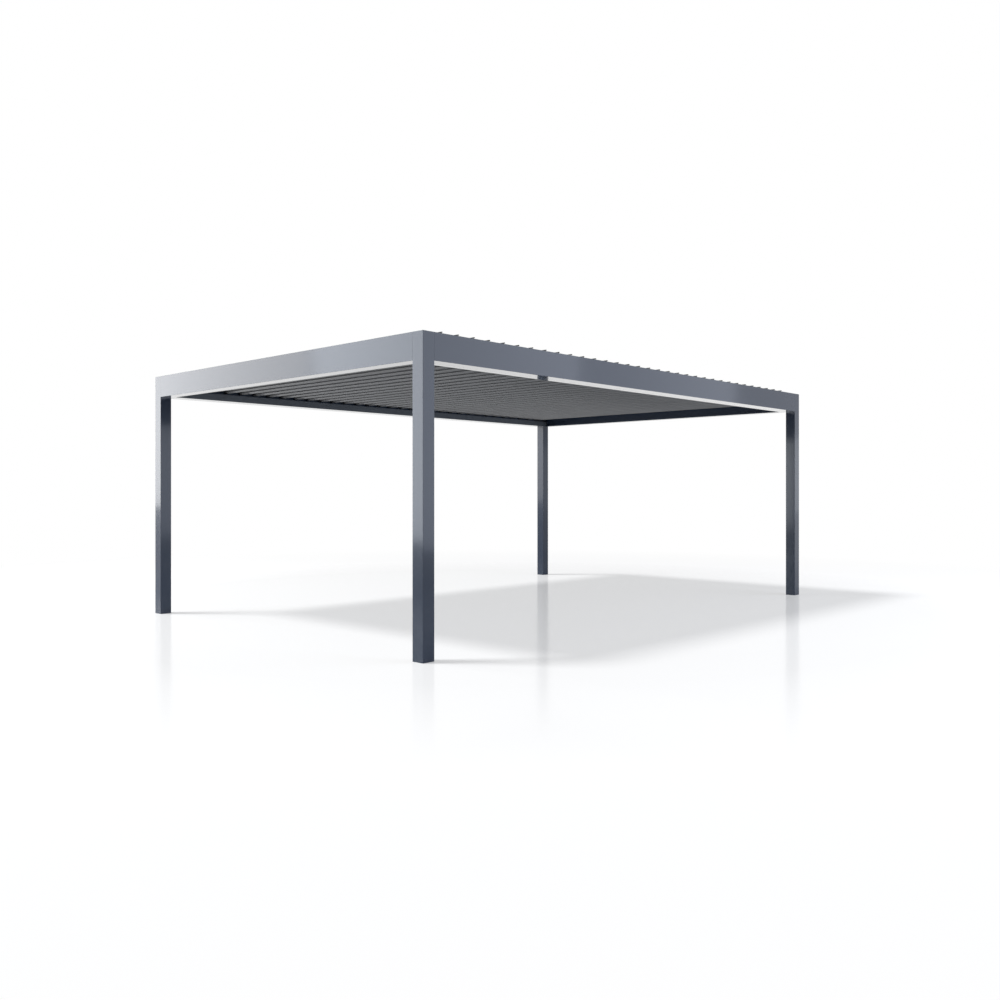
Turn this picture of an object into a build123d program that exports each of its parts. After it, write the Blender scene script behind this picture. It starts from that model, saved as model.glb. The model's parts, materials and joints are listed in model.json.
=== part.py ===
# Louvered pergola: a free-standing aluminium roof on four posts.
# Two long and two short beams run flush between the posts, gutters hang inside the long beams,
# and a row of hollow louvers turns on pins between the two long beams.
# Millimetres. The origin is on the ground at the middle of the footprint, +X runs along the
# long side, +Y along the louvers and +Z up. The louvers stand half open, as photographed.
import os
from build123d import *

# Overall sizes
total_height = 2770
roof_depth = 4660           # outside to outside, across the short side
post_size = 130             # square posts, and the width of all four beams
beam_height = 242

# Louvers
louver_count = 33
louver_pitch = 200
louver_tilt = 52            # degrees that the louvers stand open at rest
louver_overlap = 15         # how far a closed louver lies over the next one
nose_reach = 100            # pivot to the low edge
pivot_height = 190          # above the underside of the beams
louver_bottom = 24          # below the pivot
louver_top = 10             # above the pivot
crown_rise = 3
louver_wall = 2.5
end_cap = 4
end_gap = 5                 # louver end to beam
edge_gap = 8                # between the edges of two closed louvers

# Rain channel at the low edge, and the flange that hangs over it
channel_floor = -13         # from the pivot's height
channel_width = 16
channel_slope = 4
lip_height = 15
lip_thickness = 3
flange_thickness = 3
drip_depth = 6
drip_thickness = 2.5
underside_chamfer = 10

# Pivots
pin_radius = 8
pin_bar = 13                # the square bar whose corners are turned to the pin's radius
bore_sides = 10
pin_clearance = 0.05
pin_end_gap = 2
rail_depth = 14
rail_height = 64

# Frame
post_wall = 3.5
beam_wall = 3
edge_break = 1.0            # small chamfer along the outer edges
first_margin = 52           # left beam to the first closed louver
last_margin = 73            # last closed louver to the right beam
gutter_width = 81
gutter_height = 80
gutter_wall = 3
gutter_return = 8
ledge_width = 14
ledge_height = 25
ledge_wall = 3
cap_thickness = 4
cap_plug_depth = 20
fitting_clearance = 0.3

# Feet inside the posts
foot_thickness = 12
bolt_spacing = 80
bolt_hole_radius = 6.5
cheek_thickness = 6
cheek_width = 90
cheek_height = 200

# Worked out from the sizes above
louver_high_edge = louver_pitch - nose_reach + louver_overlap
body_high_edge = louver_pitch - nose_reach - edge_gap
louver_field = (louver_count - 1) * louver_pitch + nose_reach + louver_high_edge
bay_length = first_margin + louver_field + last_margin
bay_depth = roof_depth - 2 * post_size
roof_length = bay_length + 2 * post_size
beam_bottom = total_height - beam_height
pivot_z = beam_bottom + pivot_height
first_pivot_x = -bay_length / 2 + first_margin + nose_reach
louver_length = bay_depth - 2 * end_gap
post_hollow = post_size - 2 * post_wall


def outline(*points):
    return make_face(Polyline(*points, close=True))


def along_x(face, length):
    """A section drawn as (y, z), made into a bar centred on x = 0."""
    return extrude(Plane.YZ * face, length / 2, both=True)


def along_y(face, length):
    """A section drawn as (x, z), made into a bar centred on y = 0."""
    return extrude(Plane.XZ * face, length / 2, both=True)


def rectangle(low, high):
    return Pos((low[0] + high[0]) / 2, (low[1] + high[1]) / 2) * Rectangle(
        high[0] - low[0], high[1] - low[1])


def hollow_section(face, wall):
    return face - offset(face, amount=-wall, kind=Kind.INTERSECTION)


def beam_section(face):
    """A hollow beam whose four long outer edges are broken."""
    corners = [corner for corner in face.vertices() if corner.Y in (0, beam_height)]
    return hollow_section(face, beam_wall) & chamfer(corners, edge_break)


def low_edge_top():
    """The louver's upper line at its low edge: lip, rain channel and slope, from the pivot."""
    lip_inside = -nose_reach + lip_thickness
    slope_start = lip_inside + channel_width
    return [(-nose_reach, channel_floor), (slope_start, channel_floor),
            (slope_start + channel_slope, louver_top - crown_rise)]


def nose_lip():
    return rectangle((-nose_reach, channel_floor - louver_wall),
                     (-nose_reach + lip_thickness, channel_floor + lip_height))


def overhang(start):
    """The flange that covers the next louver's rain channel, with its drip edge."""
    flange = rectangle((start, louver_top - flange_thickness), (louver_high_edge, louver_top))
    drip = rectangle((louver_high_edge - drip_thickness, louver_top - flange_thickness - drip_depth),
                     (louver_high_edge, louver_top))
    return flange + drip


def louver_body():
    """The louver's closed body, from its nose to its high side, with a crowned top."""
    shoulder = low_edge_top()[-1]
    crown = ThreePointArc(shoulder, ((shoulder[0] + body_high_edge) / 2, louver_top + crown_rise),
                          (body_high_edge, louver_top))
    rest = Polyline((body_high_edge, louver_top), (body_high_edge, -louver_bottom + underside_chamfer),
                    (body_high_edge - underside_chamfer, -louver_bottom), (-nose_reach, -louver_bottom),
                    *low_edge_top())
    return make_face(crown + rest)


def closed_louver():
    """One louver lying flat, with its pivot axis on the Y axis."""
    body = louver_body()
    chamber = offset(body, amount=-louver_wall, kind=Kind.INTERSECTION)
    shape = along_y(body + nose_lip() + overhang(body_high_edge - louver_wall), louver_length)
    shape -= along_y(chamber, louver_length - 2 * end_cap)
    pin_root = louver_length / 2 - end_cap / 2
    pin_tip = bay_depth / 2 + rail_depth - pin_end_gap
    pin = along_y(Circle(pin_radius) & Rectangle(pin_bar, pin_bar), pin_tip - pin_root)
    for side in (-1, 1):
        shape += Pos(0, side * (pin_root + pin_tip) / 2, 0) * pin
    return shape


def louvers():
    flat = closed_louver()
    nodes = {}
    for index in range(louver_count):
        place = Pos(first_pivot_x + index * louver_pitch, 0, pivot_z) * Rot(0, -louver_tilt, 0)
        nodes[f"louver_{index + 1:02d}"] = place * flat
    return nodes


def post():
    tube = Box(post_size, post_size, total_height - cap_thickness,
               align=(Align.CENTER, Align.CENTER, Align.MIN))
    tube = chamfer(tube.edges().filter_by(Axis.Z), edge_break)
    return tube - Box(post_hollow, post_hollow, 2 * total_height)


def post_cap():
    plate = Box(post_size, post_size, cap_thickness, align=(Align.CENTER, Align.CENTER, Align.MAX))
    plate = chamfer(plate.edges().filter_by(Axis.Z), edge_break)
    plug_size = post_hollow - 2 * fitting_clearance
    plug = Box(plug_size, plug_size, cap_thickness + cap_plug_depth,
               align=(Align.CENTER, Align.CENTER, Align.MAX))
    hollow = plug_size - 2 * post_wall
    plug -= Pos(0, 0, -cap_thickness) * Box(hollow, hollow, 2 * cap_plug_depth,
                                            align=(Align.CENTER, Align.CENTER, Align.MAX))
    return Pos(0, 0, total_height) * (plate + plug)


def post_foot():
    """A base plate and two upright cheeks that the post slides over."""
    plate_size = post_hollow - 2 * fitting_clearance
    foot = Box(plate_size, plate_size, foot_thickness, align=(Align.CENTER, Align.CENTER, Align.MIN))
    cheek = Box(cheek_thickness, cheek_width, cheek_height,
                align=(Align.MAX, Align.CENTER, Align.MIN))
    for side in (0, 180):
        foot += Rot(0, 0, side) * Pos(plate_size / 2, 0, 0) * cheek
    for hole in GridLocations(bolt_spacing, bolt_spacing, 2, 2):
        foot -= hole * Cylinder(bolt_hole_radius, 4 * foot_thickness)
    return foot


def long_beam_section():
    """Drawn for the beam on the -Y side: y = 0 is its inner face and z = 0 its underside."""
    rail_low = pivot_height - rail_height / 2
    rail_high = pivot_height + rail_height / 2
    return beam_section(
        outline((0, 0), (0, rail_low), (-rail_depth, rail_low), (-rail_depth, rail_high),
                (0, rail_high), (0, beam_height), (-post_size, beam_height), (-post_size, 0)))


def gutter_section():
    """A channel against the beam's inner face, with its floor flush with the beam's underside."""
    channel = rectangle((0, 0), (gutter_width, gutter_height))
    channel = chamfer([corner for corner in channel.vertices() if corner.Y == 0], edge_break)
    channel -= rectangle((gutter_wall, gutter_wall), (gutter_width - gutter_wall, 2 * gutter_height))
    return channel + rectangle((gutter_width - gutter_return, gutter_height - gutter_wall),
                               (gutter_width, gutter_height))


def pivot_rail():
    """The bearing strip let into the beam's inner face, with one bore for each louver."""
    section = rectangle((-rail_depth, pivot_height - rail_height / 2),
                        (0, pivot_height + rail_height / 2))
    rail = along_x(section, bay_length)
    bore = along_y(RegularPolygon(pin_radius + pin_clearance, bore_sides, major_radius=False),
                   4 * rail_depth)
    for index in range(louver_count):
        rail -= Pos(first_pivot_x + index * louver_pitch, 0, pivot_height) * bore
    return rail


def short_beam():
    """The beam on the -X side: x = 0 is its inner face and z = 0 its underside."""
    beam = along_y(beam_section(rectangle((-post_size, 0), (0, beam_height))), bay_depth)
    ledge = rectangle((0, 0), (ledge_width, ledge_height))
    ledge -= rectangle((0, ledge_wall), (ledge_width - ledge_wall, 2 * ledge_height))
    return beam + along_y(ledge, bay_depth - 2 * gutter_width)


def left_closing():
    """Fixed profile that the first louver closes under: x = 0 is the beam's inner face."""
    body = rectangle((0, -louver_bottom), (first_margin - edge_gap, louver_top))
    shift = first_margin - (louver_pitch - nose_reach)
    flange = Pos(shift, 0) * overhang(body_high_edge - louver_wall)
    return along_y(hollow_section(body, louver_wall) + flange, bay_depth)


def right_closing():
    """Fixed profile that the last louver closes over: x = 0 is the beam's inner face."""
    nose_x = -last_margin - louver_overlap
    body = outline((0, -louver_bottom), (nose_x, -louver_bottom),
                   *[(nose_x + nose_reach + x, z) for x, z in low_edge_top()],
                   (0, louver_top - crown_rise))
    lip = Pos(nose_x + nose_reach, 0) * nose_lip()
    return along_y(hollow_section(body, louver_wall) + lip, bay_depth)


def frame():
    nodes = {}
    half_length = roof_length / 2 - post_size / 2
    half_depth = roof_depth / 2 - post_size / 2
    corners = {"front_left": (-half_length, -half_depth), "front_right": (half_length, -half_depth),
               "back_left": (-half_length, half_depth), "back_right": (half_length, half_depth)}
    for name, (x, y) in corners.items():
        nodes[f"post_{name}"] = Pos(x, y, 0) * post()
    nodes["post_caps"] = Compound([Pos(x, y, 0) * post_cap() for x, y in corners.values()])
    nodes["post_feet"] = Compound([Pos(x, y, 0) * post_foot() for x, y in corners.values()])

    front = Pos(0, -bay_depth / 2, beam_bottom)
    back = Rot(0, 0, 180)
    nodes["front_beam"] = front * along_x(long_beam_section(), bay_length)
    nodes["front_gutter"] = front * along_x(gutter_section(), bay_length)
    nodes["front_pivot_rail"] = front * pivot_rail()
    nodes["back_beam"] = back * nodes["front_beam"]
    nodes["back_gutter"] = back * nodes["front_gutter"]
    nodes["back_pivot_rail"] = mirror(nodes["front_pivot_rail"], Plane.XZ)

    left = Pos(-bay_length / 2, 0, beam_bottom)
    nodes["left_beam"] = left * short_beam()
    nodes["right_beam"] = back * nodes["left_beam"]
    nodes["left_closing_profile"] = Pos(-bay_length / 2, 0, pivot_z) * left_closing()
    nodes["right_closing_profile"] = Pos(bay_length / 2, 0, pivot_z) * right_closing()
    return nodes


os.makedirs("parts", exist_ok=True)
for node, shape in {**frame(), **louvers()}.items():
    export_step(shape, f"parts/{node}.step")
print("first pivot x", first_pivot_x, "pivot z", pivot_z, "length", roof_length)
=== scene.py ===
import bpy
import json
import math
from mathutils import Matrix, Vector


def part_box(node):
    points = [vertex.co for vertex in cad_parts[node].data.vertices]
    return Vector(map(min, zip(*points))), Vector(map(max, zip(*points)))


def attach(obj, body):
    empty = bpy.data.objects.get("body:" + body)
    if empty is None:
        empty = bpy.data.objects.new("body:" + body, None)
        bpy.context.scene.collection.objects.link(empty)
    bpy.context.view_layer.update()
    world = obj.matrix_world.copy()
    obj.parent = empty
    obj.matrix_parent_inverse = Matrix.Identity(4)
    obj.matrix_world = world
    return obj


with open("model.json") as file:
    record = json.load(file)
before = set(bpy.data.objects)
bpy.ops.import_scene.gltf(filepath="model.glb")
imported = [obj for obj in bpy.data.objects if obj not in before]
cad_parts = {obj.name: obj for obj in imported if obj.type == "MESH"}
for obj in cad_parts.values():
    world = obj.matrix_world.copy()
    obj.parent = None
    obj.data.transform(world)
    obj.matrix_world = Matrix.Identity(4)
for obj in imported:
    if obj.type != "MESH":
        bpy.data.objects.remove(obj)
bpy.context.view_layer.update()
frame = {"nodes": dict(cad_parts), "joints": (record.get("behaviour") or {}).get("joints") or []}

nodes = frame["nodes"]
louverNames = sorted(name for name in nodes if name.startswith("louver_"))
postNames = sorted(name for name in nodes if name.startswith("post_") and name.count("_") == 2)
hinges = {joint["child"]: joint for joint in frame["joints"]}
pivots = {name: Vector(hinges[name]["pos_m"]) for name in louverNames}
openDeg = -hinges[louverNames[0]]["range_deg"][0]  # how far open the louvers stand at rest
pitch = pivots[louverNames[1]].x - pivots[louverNames[0]].x
scene = bpy.context.scene
scene.view_settings.view_transform = "Standard"
print("stage: frame loaded,", len(nodes), "nodes")


# Camera: level, 1.4 m up, off the corner between the front and the left beam
view = {"x": -8.6715, "y": -8.033, "z": 1.4322, "headingDeg": 43.03, "lens": 33.277, "sensor": 36,
        "horizon": -0.00896}


def addCamera():
    cameraData = bpy.data.cameras.new("photoCamera")
    cameraData.lens = view["lens"]
    cameraData.sensor_width = view["sensor"]
    cameraData.shift_y = view["horizon"]
    camera = bpy.data.objects.new("photoCamera", cameraData)
    camera.location = (view["x"], view["y"], view["z"])
    camera.rotation_euler = (math.radians(90), 0, math.radians(view["headingDeg"] - 90))
    scene.collection.objects.link(camera)
    scene.camera = camera


addCamera()
print("stage: camera")


# Materials

def srgb(hexText):  # a hex colour as Blender's linear colour
    def linear(value):
        return value / 12.92 if value <= 0.04045 else ((value + 0.055) / 1.055) ** 2.4
    channels = [int(hexText[i:i + 2], 16) / 255 for i in (1, 3, 5)]
    return (*[linear(channel) for channel in channels], 1.0)


def addNode(tree, kind, values=None, links=None, **settings):
    node = tree.nodes.new(kind)
    for name, value in settings.items():
        setattr(node, name, value)
    for name, value in (values or {}).items():
        node.inputs[name].default_value = value
    for name, source in (links or {}).items():
        tree.links.new(source, node.inputs[name])
    return node


def newFinish(name, shader):  # the shader is built on the piece's own coordinates
    material = bpy.data.materials.new(name)
    material.use_nodes = True
    tree = material.node_tree
    tree.nodes.clear()
    place = addNode(tree, "ShaderNodeTexCoord").outputs["Object"]
    addNode(tree, "ShaderNodeOutputMaterial", links={"Surface": shader(tree, place).outputs[0]})
    return material


# Polyester powder baked on aluminium: an even satin skin that mirrors the floor at a glance.
# The gutters and louvers are paler, less blue copies of the frame's powder: painted light on their faces in
# shade.
frameCoat = {"colour": "#2d3748", "shade": "#2b3545", "mottleMm": 420.0,
             "roughness": 0.25, "satinSpread": 0.02, "smudgeMm": 300.0,
             "glanceRoughness": 0.03, "glanceFrom": 0.55, "glanceTo": 0.86,
             "specular": 0.1, "skin": 1.0, "skinIor": 1.25, "skinRoughness": 0.09,
             "peelMm": 6.0, "peelHeight": 0.000004}
# Paler copies of the frame's coat, as painted light that lifts the shaded gutters and louvers
gutterCoatWithPaintedLight = dict(frameCoat, colour="#5e6369", shade="#5a5f65")
louverCoatWithPaintedLight = dict(frameCoat, colour="#8f9092", shade="#8b8c8e")


def coatShader(tree, place, look):
    # Clouds of paler and darker powder, too faint to see as spots
    mottle = addNode(tree, "ShaderNodeTexNoise", {"Scale": 1000 / look["mottleMm"], "Detail": 4.0},
                     {"Vector": place})
    tint = addNode(tree, "ShaderNodeMix", {6: srgb(look["shade"]), 7: srgb(look["colour"])},
                   {"Factor": mottle.outputs["Fac"]}, data_type="RGBA")
    # The real peel is 1 to 2 mm wide, too fine to show, so it is drawn coarser
    peel = addNode(tree, "ShaderNodeTexNoise", {"Scale": 1000 / look["peelMm"], "Detail": 2.0},
                   {"Vector": place})
    bump = addNode(tree, "ShaderNodeBump", {"Distance": look["peelHeight"]}, {"Height": peel.outputs["Fac"]})
    smudge = addNode(tree, "ShaderNodeTexNoise", {"Scale": 1000 / look["smudgeMm"], "Detail": 3.0},
                     {"Vector": place})
    satin = addNode(tree, "ShaderNodeMapRange",
                    {"To Min": look["roughness"] - look["satinSpread"],
                     "To Max": look["roughness"] + look["satinSpread"]},
                    {"Value": smudge.outputs["Fac"]})
    # Satin from the front, glossy at a glance
    facing = addNode(tree, "ShaderNodeLayerWeight")
    gloss = addNode(tree, "ShaderNodeMapRange",
                    {"From Min": look["glanceFrom"], "From Max": look["glanceTo"],
                     "To Max": look["glanceRoughness"]},
                    {"Value": facing.outputs["Facing"], "To Min": satin.outputs[0]})
    return addNode(tree, "ShaderNodeBsdfPrincipled",
                   {"Specular IOR Level": look["specular"], "Coat Weight": look["skin"],
                    "Coat IOR": look["skinIor"], "Coat Roughness": look["skinRoughness"]},
                   {"Base Color": tint.outputs[2], "Roughness": gloss.outputs[0],
                    "Normal": bump.outputs["Normal"]})


def frameShader(tree, place):
    return coatShader(tree, place, frameCoat)


def gutterShaderWithPaintedLight(tree, place):
    return coatShader(tree, place, gutterCoatWithPaintedLight)


# Glass-filled polyamide, moulded: a dull black with a grain. The real grain is half a millimetre
# wide, too fine to show, so it is drawn coarser.
polyamide = {"colour": "#17181a", "worn": "#242527", "roughness": 0.55, "specular": 0.3,
             "grainMm": 3.0, "grainHeight": 0.00003}


def polyamideShader(tree, place):
    grain = addNode(tree, "ShaderNodeTexNoise", {"Scale": 1000 / polyamide["grainMm"], "Detail": 3.0},
                    {"Vector": place})
    tint = addNode(tree, "ShaderNodeMix", {6: srgb(polyamide["colour"]), 7: srgb(polyamide["worn"])},
                   {"Factor": grain.outputs["Fac"]}, data_type="RGBA")
    bump = addNode(tree, "ShaderNodeBump", {"Distance": polyamide["grainHeight"]},
                   {"Height": grain.outputs["Fac"]})
    return addNode(tree, "ShaderNodeBsdfPrincipled",
                   {"Roughness": polyamide["roughness"], "Specular IOR Level": polyamide["specular"]},
                   {"Base Color": tint.outputs[2], "Normal": bump.outputs["Normal"]})


# Stainless steel, turned: bright, with rings far too fine to show, drawn as a coarser soft streak
steel = {"colour": "#b9bbbd", "roughness": 0.3, "streakSpread": 0.08, "streakMm": 2.0}


def steelShader(tree, place):
    streak = addNode(tree, "ShaderNodeTexNoise", {"Scale": 1000 / steel["streakMm"], "Detail": 2.0},
                     {"Vector": place})
    rough = addNode(tree, "ShaderNodeMapRange",
                    {"To Min": steel["roughness"] - steel["streakSpread"],
                     "To Max": steel["roughness"] + steel["streakSpread"]},
                    {"Value": streak.outputs["Fac"]})
    return addNode(tree, "ShaderNodeBsdfPrincipled",
                   {"Base Color": srgb(steel["colour"]), "Metallic": 1.0}, {"Roughness": rough.outputs[0]})


# A louver is one CAD solid: coated blade, black moulded caps at its ends and steel pins past them
louverEnds = {"capFromY": 2.191, "pinFromY": 2.1952}


def louverShader(tree, place):
    axes = addNode(tree, "ShaderNodeSeparateXYZ", links={0: place})
    along = addNode(tree, "ShaderNodeMath", links={0: axes.outputs["Y"]}, operation="ABSOLUTE")
    isCap = addNode(tree, "ShaderNodeMath", {1: louverEnds["capFromY"]}, {0: along.outputs[0]},
                    operation="GREATER_THAN")
    isPin = addNode(tree, "ShaderNodeMath", {1: louverEnds["pinFromY"]}, {0: along.outputs[0]},
                    operation="GREATER_THAN")
    blade = addNode(tree, "ShaderNodeMixShader",
                    links={0: isCap.outputs[0], 1: coatShader(tree, place, louverCoatWithPaintedLight).outputs[0],
                           2: polyamideShader(tree, place).outputs[0]})
    return addNode(tree, "ShaderNodeMixShader",
                   links={0: isPin.outputs[0], 1: blade.outputs[0], 2: steelShader(tree, place).outputs[0]})


# Hot-dip galvanised steel: zinc crystals, each with its own grey and gloss
zinc = {"pale": "#a9adb0", "dark": "#85898d", "metallic": 0.9, "glossiest": 0.35, "dullest": 0.6,
        "spangleMm": 14.0}


def zincShader(tree, place):
    spangle = addNode(tree, "ShaderNodeTexVoronoi", {"Scale": 1000 / zinc["spangleMm"]}, {"Vector": place})
    crystal = addNode(tree, "ShaderNodeSeparateColor", links={0: spangle.outputs["Color"]})
    tint = addNode(tree, "ShaderNodeMix", {6: srgb(zinc["dark"]), 7: srgb(zinc["pale"])},
                   {"Factor": crystal.outputs[0]}, data_type="RGBA")
    rough = addNode(tree, "ShaderNodeMapRange", {"To Min": zinc["glossiest"], "To Max": zinc["dullest"]},
                    {"Value": crystal.outputs[1]})
    return addNode(tree, "ShaderNodeBsdfPrincipled", {"Metallic": zinc["metallic"]},
                   {"Base Color": tint.outputs[2], "Roughness": rough.outputs[0]})


# EPDM rubber, extruded: a soft near-black with a bloom of dust in its grain
rubber = {"colour": "#0e0f10", "bloom": "#1b1c1d", "roughness": 0.75, "specular": 0.2,
          "bloomMm": 25.0, "bloomHeight": 0.00002}


def rubberShader(tree, place):
    bloom = addNode(tree, "ShaderNodeTexNoise", {"Scale": 1000 / rubber["bloomMm"], "Detail": 5.0},
                    {"Vector": place})
    tint = addNode(tree, "ShaderNodeMix", {6: srgb(rubber["colour"]), 7: srgb(rubber["bloom"])},
                   {"Factor": bloom.outputs["Fac"]}, data_type="RGBA")
    bump = addNode(tree, "ShaderNodeBump", {"Distance": rubber["bloomHeight"]},
                   {"Height": bloom.outputs["Fac"]})
    return addNode(tree, "ShaderNodeBsdfPrincipled",
                   {"Roughness": rubber["roughness"], "Specular IOR Level": rubber["specular"]},
                   {"Base Color": tint.outputs[2], "Normal": bump.outputs["Normal"]})


frameFinish = newFinish("powderCoatedFrame", frameShader)
gutterFinishWithPaintedLight = newFinish("powderCoatedGutter", gutterShaderWithPaintedLight)
louverFinishWithPaintedLight = newFinish("powderCoatedLouver", louverShader)
polyamideFinish = newFinish("mouldedPolyamide", polyamideShader)
steelFinish = newFinish("turnedStainlessSteel", steelShader)
zincFinish = newFinish("galvanisedSteel", zincShader)
rubberFinish = newFinish("extrudedRubber", rubberShader)


def finishNodes():
    for name, node in nodes.items():
        finish = frameFinish
        if name in louverNames:
            finish = louverFinishWithPaintedLight
        elif name.endswith("_gutter"):
            finish = gutterFinishWithPaintedLight
        elif name.endswith("pivot_rail"):
            finish = polyamideFinish
        elif name == "post_feet":
            finish = zincFinish
        node.data.materials.clear()
        node.data.materials.append(finish)


finishNodes()
print("stage: materials")


# Making pieces

def deselectAll():
    if bpy.context.mode != "OBJECT":
        bpy.ops.object.mode_set(mode="OBJECT")
    bpy.ops.object.select_all(action="DESELECT")


def settle(piece):  # the place goes into the mesh
    deselectAll()
    bpy.context.view_layer.objects.active = piece
    piece.select_set(True)
    bpy.ops.object.transform_apply(location=True, rotation=True, scale=True)


def pickFaces(piece, test):  # selects faces by their centre and normal, and stays in edit mode
    bpy.ops.object.mode_set(mode="OBJECT")
    for part in (*piece.data.vertices, *piece.data.edges):
        part.select = False
    for face in piece.data.polygons:
        face.select = test(face.center, face.normal)
    bpy.ops.object.mode_set(mode="EDIT")
    bpy.ops.mesh.select_mode(type="FACE")


def facesUp(centre, normal):
    return normal.z > 0.9


def finishPiece(piece, name, finish, body):
    bpy.ops.object.mode_set(mode="OBJECT")
    piece.name = name
    piece.data.name = name
    piece.data.materials.clear()
    piece.data.materials.append(finish)
    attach(piece, body)


def copyPiece(piece, shift):  # a copy with its own mesh, moved by the shift
    copy = piece.copy()
    copy.data = piece.data.copy()
    scene.collection.objects.link(copy)
    copy.location = shift
    settle(copy)
    return copy


def joinPieces(pieces):
    deselectAll()
    for piece in pieces:
        piece.select_set(True)
    bpy.context.view_layer.objects.active = pieces[0]
    bpy.ops.object.join()
    return pieces[0]


def railFace(prefix, side):  # where the pivot rail's inner face stands
    railLow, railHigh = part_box(prefix + "_pivot_rail")
    return railLow.y if side > 0 else railHigh.y


# Thrust washers between the louver ends and the pivot rails
washer = {"outer": 0.0135, "inner": 0.0084, "thickness": 0.0022, "edge": 0.0004, "edgeFromDeg": 60,
          "sides": 20}


def pivotWashers(side, prefix):
    face = railFace(prefix, side)
    first = pivots[louverNames[0]]
    deselectAll()
    bpy.ops.mesh.primitive_cylinder_add(vertices=washer["sides"], radius=washer["outer"],
                                        depth=washer["thickness"], end_fill_type="NOTHING",
                                        rotation=(math.radians(90), 0, 0),
                                        location=(first.x, face - side * washer["thickness"] / 2, first.z))
    ring = bpy.context.active_object
    settle(ring)
    wall = ring.modifiers.new("wall", "SOLIDIFY")
    wall.thickness = washer["outer"] - washer["inner"]
    wall.offset = -1
    bpy.ops.object.modifier_apply(modifier="wall")
    edge = ring.modifiers.new("edge", "BEVEL")
    edge.width = washer["edge"]
    edge.segments = 1
    edge.limit_method = "ANGLE"
    edge.angle_limit = math.radians(washer["edgeFromDeg"])
    bpy.ops.object.modifier_apply(modifier="edge")
    rings = [ring] + [copyPiece(ring, (pivots[name].x - first.x, 0, 0)) for name in louverNames[1:]]
    finishPiece(joinPieces(rings), prefix + "_pivot_washers", polyamideFinish, "frame")


for prefix, side in (("front", -1), ("back", 1)):
    pivotWashers(side, prefix)
print("stage: pivot washers")


# Domed screws with a round recess. The dome and the recess's depth are shares of the height that
# stands proud, the rim and the recess are shares of the radius.
screw = {"railRadius": 0.0045, "frameRadius": 0.0065, "proud": 0.0009, "dome": 0.5, "rim": 0.18,
         "recess": 0.45, "recessDepth": 0.6, "sides": 18}


def screwHead(place, direction, radius):
    deselectAll()
    bpy.ops.mesh.primitive_cylinder_add(vertices=screw["sides"], radius=radius, depth=screw["proud"])
    head = bpy.context.active_object
    pickFaces(head, facesUp)
    bpy.ops.mesh.inset(thickness=radius * screw["rim"])
    bpy.ops.transform.translate(value=(0, 0, screw["proud"] * screw["dome"]))
    bpy.ops.mesh.inset(thickness=radius * (1 - screw["rim"] - screw["recess"]))
    depth = screw["proud"] * screw["recessDepth"]
    bpy.ops.mesh.extrude_region_move(TRANSFORM_OT_translate={"value": (0, 0, -depth)})
    bpy.ops.object.mode_set(mode="OBJECT")
    head.rotation_euler = Vector(direction).to_track_quat("Z", "Y").to_euler()
    head.location = Vector(place) + Vector(direction) * screw["proud"] / 2
    settle(head)
    return head


def railScrews(side, prefix):  # one between every second pair of louvers
    first = pivots[louverNames[0]]
    head = screwHead((first.x + pitch / 2, railFace(prefix, side), first.z), (0, -side, 0),
                     screw["railRadius"])
    heads = [head] + [copyPiece(head, (index * pitch, 0, 0)) for index in range(2, len(louverNames) - 1, 2)]
    finishPiece(joinPieces(heads), prefix + "_rail_screws", steelFinish, "frame")


for prefix, side in (("front", -1), ("back", 1)):
    railScrews(side, prefix)


# Screws through each post into its foot, and through both ends of each short beam into its joint
# with the posts, on the inner sides only
joint = {"footHeights": (0.06, 0.15), "beamEnd": 0.045, "beamHeights": (0.07, 0.17)}


def postScrews(name):
    low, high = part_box(name)
    inward = -math.copysign(1, low.x)
    face = high.x if inward > 0 else low.x
    heads = [screwHead((face, (low.y + high.y) / 2, height), (inward, 0, 0), screw["frameRadius"])
             for height in joint["footHeights"]]
    finishPiece(joinPieces(heads), name + "_screws", frameFinish, "frame")


def beamScrews(name):
    beamLow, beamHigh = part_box(name)
    inward = -math.copysign(1, beamLow.x)
    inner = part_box("front_beam")[0].x if inward > 0 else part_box("front_beam")[1].x
    heads = [screwHead((inner, end, beamLow.z + height), (inward, 0, 0), screw["frameRadius"])
             for end in (beamLow.y + joint["beamEnd"], beamHigh.y - joint["beamEnd"])
             for height in joint["beamHeights"]]
    finishPiece(joinPieces(heads), name + "_screws", frameFinish, "frame")


for name in postNames:
    postScrews(name)
for name in ("left_beam", "right_beam"):
    beamScrews(name)
print("stage: screws")


# Anchors through the base plates, inside the posts
anchor = {"spacing": 0.08, "plate": 0.012, "washerRadius": 0.012, "washerHeight": 0.0025,
          "washerEdge": 0.0005, "washerSides": 18, "nutRadius": 0.011, "nutHeight": 0.0108,
          "nutEdge": 0.001, "nutSides": 6, "studRadius": 0.006, "studAbove": 0.008, "studEdge": 0.001,
          "studSides": 12}


def plainBar(radius, low, high, sides, centre, edge):  # an upright bar with a chamfered end on its top
    deselectAll()
    bpy.ops.mesh.primitive_cylinder_add(vertices=sides, radius=radius, depth=high - low,
                                        location=(centre[0], centre[1], (low + high) / 2))
    bar = bpy.context.active_object
    settle(bar)
    pickFaces(bar, facesUp)
    bpy.ops.mesh.extrude_region_move(TRANSFORM_OT_translate={"value": (0, 0, edge)})
    bpy.ops.transform.resize(value=(1 - edge / radius, 1 - edge / radius, 1))
    bpy.ops.object.mode_set(mode="OBJECT")
    return bar


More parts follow.
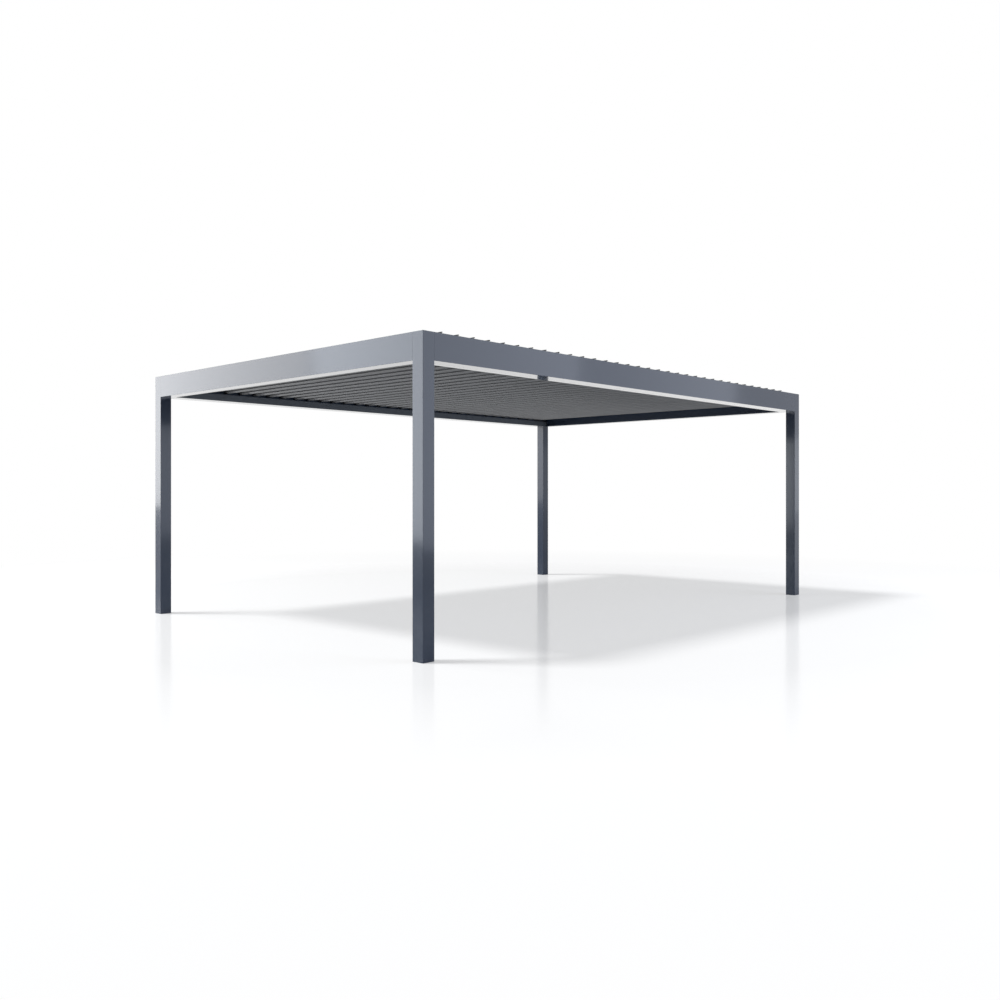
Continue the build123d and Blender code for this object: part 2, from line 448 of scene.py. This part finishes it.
def postAnchors(name):
    low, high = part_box(name)
    middle = ((low.x + high.x) / 2, (low.y + high.y) / 2)
    corner = (middle[0] - anchor["spacing"] / 2, middle[1] - anchor["spacing"] / 2)
    washerTop = anchor["plate"] + anchor["washerHeight"]
    nutTop = washerTop + anchor["nutHeight"]
    first = joinPieces([
        plainBar(anchor["washerRadius"], anchor["plate"], washerTop - anchor["washerEdge"],
                 anchor["washerSides"], corner, anchor["washerEdge"]),
        plainBar(anchor["nutRadius"], washerTop, nutTop - anchor["nutEdge"],
                 anchor["nutSides"], corner, anchor["nutEdge"]),
        plainBar(anchor["studRadius"], nutTop, nutTop + anchor["studAbove"],
                 anchor["studSides"], corner, anchor["studEdge"])])
    anchors = [first] + [copyPiece(first, (x * anchor["spacing"], y * anchor["spacing"], 0))
                         for x, y in ((1, 0), (0, 1), (1, 1))]
    finishPiece(joinPieces(anchors), name + "_anchors", zincFinish, "frame")


for name in postNames:
    postAnchors(name)
print("stage: anchors")


# Black trim on the louvers, grown from slices of the louver itself so that it fits the profile
cap = {"from": 2.1915, "to": 2.1952, "rim": 0.0015}
seal = {"from": 0.1045, "endAt": 2.1895, "wall": 0.0012}


def grownSlice(cuts, growth):  # each cut is a point and the direction in which the louver is kept
    piece = bpy.data.objects.new("slice", nodes[louverNames[0]].data.copy())
    scene.collection.objects.link(piece)
    deselectAll()
    bpy.context.view_layer.objects.active = piece
    piece.select_set(True)
    bpy.ops.object.mode_set(mode="EDIT")
    for point, keep in cuts:
        bpy.ops.mesh.select_all(action="SELECT")
        bpy.ops.mesh.bisect(plane_co=point, plane_no=keep, clear_inner=True, use_fill=True)
    bpy.ops.mesh.select_all(action="SELECT")
    bpy.ops.mesh.dissolve_limited(angle_limit=math.radians(1))  # loose triangles become flat faces
    bpy.ops.mesh.normals_make_consistent(inside=False)
    bpy.ops.transform.shrink_fatten(value=growth, use_even_offset=True)
    bpy.ops.object.mode_set(mode="OBJECT")
    bpy.ops.object.shade_flat()
    return piece


def onEveryLouver(piece, suffix, finish):
    first = louverNames[0]
    for name in louverNames:
        own = piece if name == first else copyPiece(piece, (pivots[name].x - pivots[first].x, 0, 0))
        finishPiece(own, name + suffix, finish, name)


def endCaps():  # moulded, with a rim that stands proud of the profile
    ends = [grownSlice([((0, side * cap["from"], 0), (0, side, 0)),
                        ((0, side * cap["to"], 0), (0, -side, 0))], cap["rim"]) for side in (-1, 1)]
    onEveryLouver(joinPieces(ends), "_end_caps", polyamideFinish)


def edgeSeals():  # a rubber sleeve on the flange's edge, which quiets it against the next louver
    blade = Vector((math.cos(math.radians(openDeg)), 0, math.sin(math.radians(openDeg))))
    start = pivots[louverNames[0]] + blade * seal["from"]
    sleeve = grownSlice([(start, blade), ((0, -seal["endAt"], 0), (0, 1, 0)),
                         ((0, seal["endAt"], 0), (0, -1, 0))], seal["wall"])
    onEveryLouver(sleeve, "_edge_seal", rubberFinish)


endCaps()
edgeSeals()
print("stage: louver trim")


# Studio: a sun from above the back left, softboxes at the left and the back left, three weaker
# fills from the front to the right, and surroundings that show white but give a quarter of its light
surroundings = {"lightStrength": 0.26, "seenStrength": 1.0}
sun = {"place": (-3.2, 3.4, 8.8), "strength": 2.3, "softDeg": 12}
softboxes = {  # place, what it points at, width and height, radiance, colour
    "leftSoftbox": ((-13.5, 8.6, 3.9), (-3.0, -0.4, 2.2), (5.5, 7.5), 7.9, (0.95, 1.0, 1.07)),
    "backLeftSoftbox": ((-8.2, 11.0, 4.5), (-3.5, 1.5, 2.2), (6.0, 7.0), 5.4, (1.0, 1.0, 1.0)),
    "frontFill": ((4.0, -11.3, 3.4), (-1.5, -2.3, 2.2), (7.8, 6.5), 3.5, (0.9, 0.97, 1.13)),
    "frontRightFill": ((9.0, -8.3, 3.4), (3.5, 0.7, 2.2), (4.0, 6.5), 1.5, (0.9, 0.97, 1.13)),
    "rightFill": ((17.0, -9.5, 1.9), (3.0, -1.0, 1.6), (8.0, 2.2), 0.8, (0.95, 1.0, 1.06)),
}


def seenDirectly(tree):  # 1 where the camera, a reflection or a clear pane looks at it, 0 for its light
    path = addNode(tree, "ShaderNodeLightPath")
    seen = addNode(tree, "ShaderNodeMath",
                   links={0: path.outputs["Is Camera Ray"], 1: path.outputs["Is Glossy Ray"]},
                   operation="MAXIMUM")
    return addNode(tree, "ShaderNodeMath",
                   links={0: seen.outputs[0], 1: path.outputs["Is Transmission Ray"]},
                   operation="MAXIMUM").outputs[0]


def buildWorld():
    world = bpy.data.worlds.new("studio")
    scene.world = world
    world.use_nodes = True
    tree = world.node_tree
    tree.nodes.clear()
    strength = addNode(tree, "ShaderNodeMapRange",
                       {"To Min": surroundings["lightStrength"], "To Max": surroundings["seenStrength"]},
                       {"Value": seenDirectly(tree)})
    background = addNode(tree, "ShaderNodeBackground", {"Color": (1, 1, 1, 1)},
                         {"Strength": strength.outputs[0]})
    addNode(tree, "ShaderNodeOutputWorld", links={"Surface": background.outputs[0]})


# White floor: lit and shaded near the object, plain white further out. Distances are from its middle.
floorLook = {"radius": 120, "sides": 96, "below": 0.0005, "tone": 0.5, "glow": 0.43, "mirroredGlow": 0.15,
             "glowFrom": 6.5, "glowTo": 11.0, "shine": 0.5, "shineFrom": 5.0, "shineTo": 7.0,
             "blur": 0.12, "ior": 1.33}


def floorShader(tree, place):
    distance = addNode(tree, "ShaderNodeVectorMath", links={0: place}, operation="LENGTH").outputs["Value"]
    away = {"From Min": floorLook["glowFrom"], "From Max": floorLook["glowTo"]}
    tone = addNode(tree, "ShaderNodeMapRange", dict(away, **{"To Min": floorLook["tone"], "To Max": 0.0}),
                   {"Value": distance})
    # Near the object, reflections see less of the glow than the camera does
    path = addNode(tree, "ShaderNodeLightPath")
    nearGlow = addNode(tree, "ShaderNodeMix", {2: floorLook["mirroredGlow"], 3: floorLook["glow"]},
                       {0: path.outputs["Is Camera Ray"]})
    spread = addNode(tree, "ShaderNodeMapRange", dict(away, **{"To Max": 1.0}),
                     {"Value": distance, "To Min": nearGlow.outputs[0]})
    glowStrength = addNode(tree, "ShaderNodeMath", links={0: seenDirectly(tree), 1: spread.outputs[0]},
                           operation="MULTIPLY")
    diffuse = addNode(tree, "ShaderNodeBsdfDiffuse", links={"Color": tone.outputs[0]})
    glow = addNode(tree, "ShaderNodeEmission", {"Color": (1, 1, 1, 1)}, {"Strength": glowStrength.outputs[0]})
    matt = addNode(tree, "ShaderNodeAddShader", links={0: diffuse.outputs[0], 1: glow.outputs[0]})
    # A blurred reflection that fades away from the object
    gloss = addNode(tree, "ShaderNodeBsdfGlossy", {"Roughness": floorLook["blur"]})
    glance = addNode(tree, "ShaderNodeFresnel", {"IOR": floorLook["ior"]})
    shine = addNode(tree, "ShaderNodeMapRange",
                    {"From Min": floorLook["shineFrom"], "From Max": floorLook["shineTo"],
                     "To Min": floorLook["shine"], "To Max": 0.0},
                    {"Value": distance})
    share = addNode(tree, "ShaderNodeMath", links={0: glance.outputs[0], 1: shine.outputs[0]},
                    operation="MULTIPLY")
    return addNode(tree, "ShaderNodeMixShader",
                   links={0: share.outputs[0], 1: matt.outputs[0], 2: gloss.outputs[0]})


def buildFloor():
    deselectAll()
    bpy.ops.mesh.primitive_circle_add(vertices=floorLook["sides"], radius=floorLook["radius"],
                                      fill_type="NGON", location=(0, 0, -floorLook["below"]))
    floor = bpy.context.active_object
    floor.name = "studioFloor"
    settle(floor)
    floor.data.materials.append(newFinish("whiteStudioFloor", floorShader))


def addLamp(name, data, place, towards):
    lamp = bpy.data.objects.new(name, data)
    lamp.location = place
    lamp.rotation_euler = (Vector(place) - Vector(towards)).to_track_quat("Z", "Y").to_euler()
    scene.collection.objects.link(lamp)
    return lamp


def addSun():
    data = bpy.data.lights.new("keyLight", "SUN")
    data.energy = sun["strength"]
    data.angle = math.radians(sun["softDeg"])
    addLamp("keyLight", data, sun["place"], (0, 0, 0))


def addSoftbox(name, place, towards, size, radiance, colour):
    data = bpy.data.lights.new(name, "AREA")
    data.shape = "RECTANGLE"
    data.color = colour
    data.size, data.size_y = size
    data.energy = radiance * math.pi * size[0] * size[1]
    addLamp(name, data, place, towards).visible_camera = False


buildWorld()
buildFloor()
addSun()
for name, (place, towards, size, radiance, colour) in softboxes.items():
    addSoftbox(name, place, towards, size, radiance, colour)
print("stage: studio")
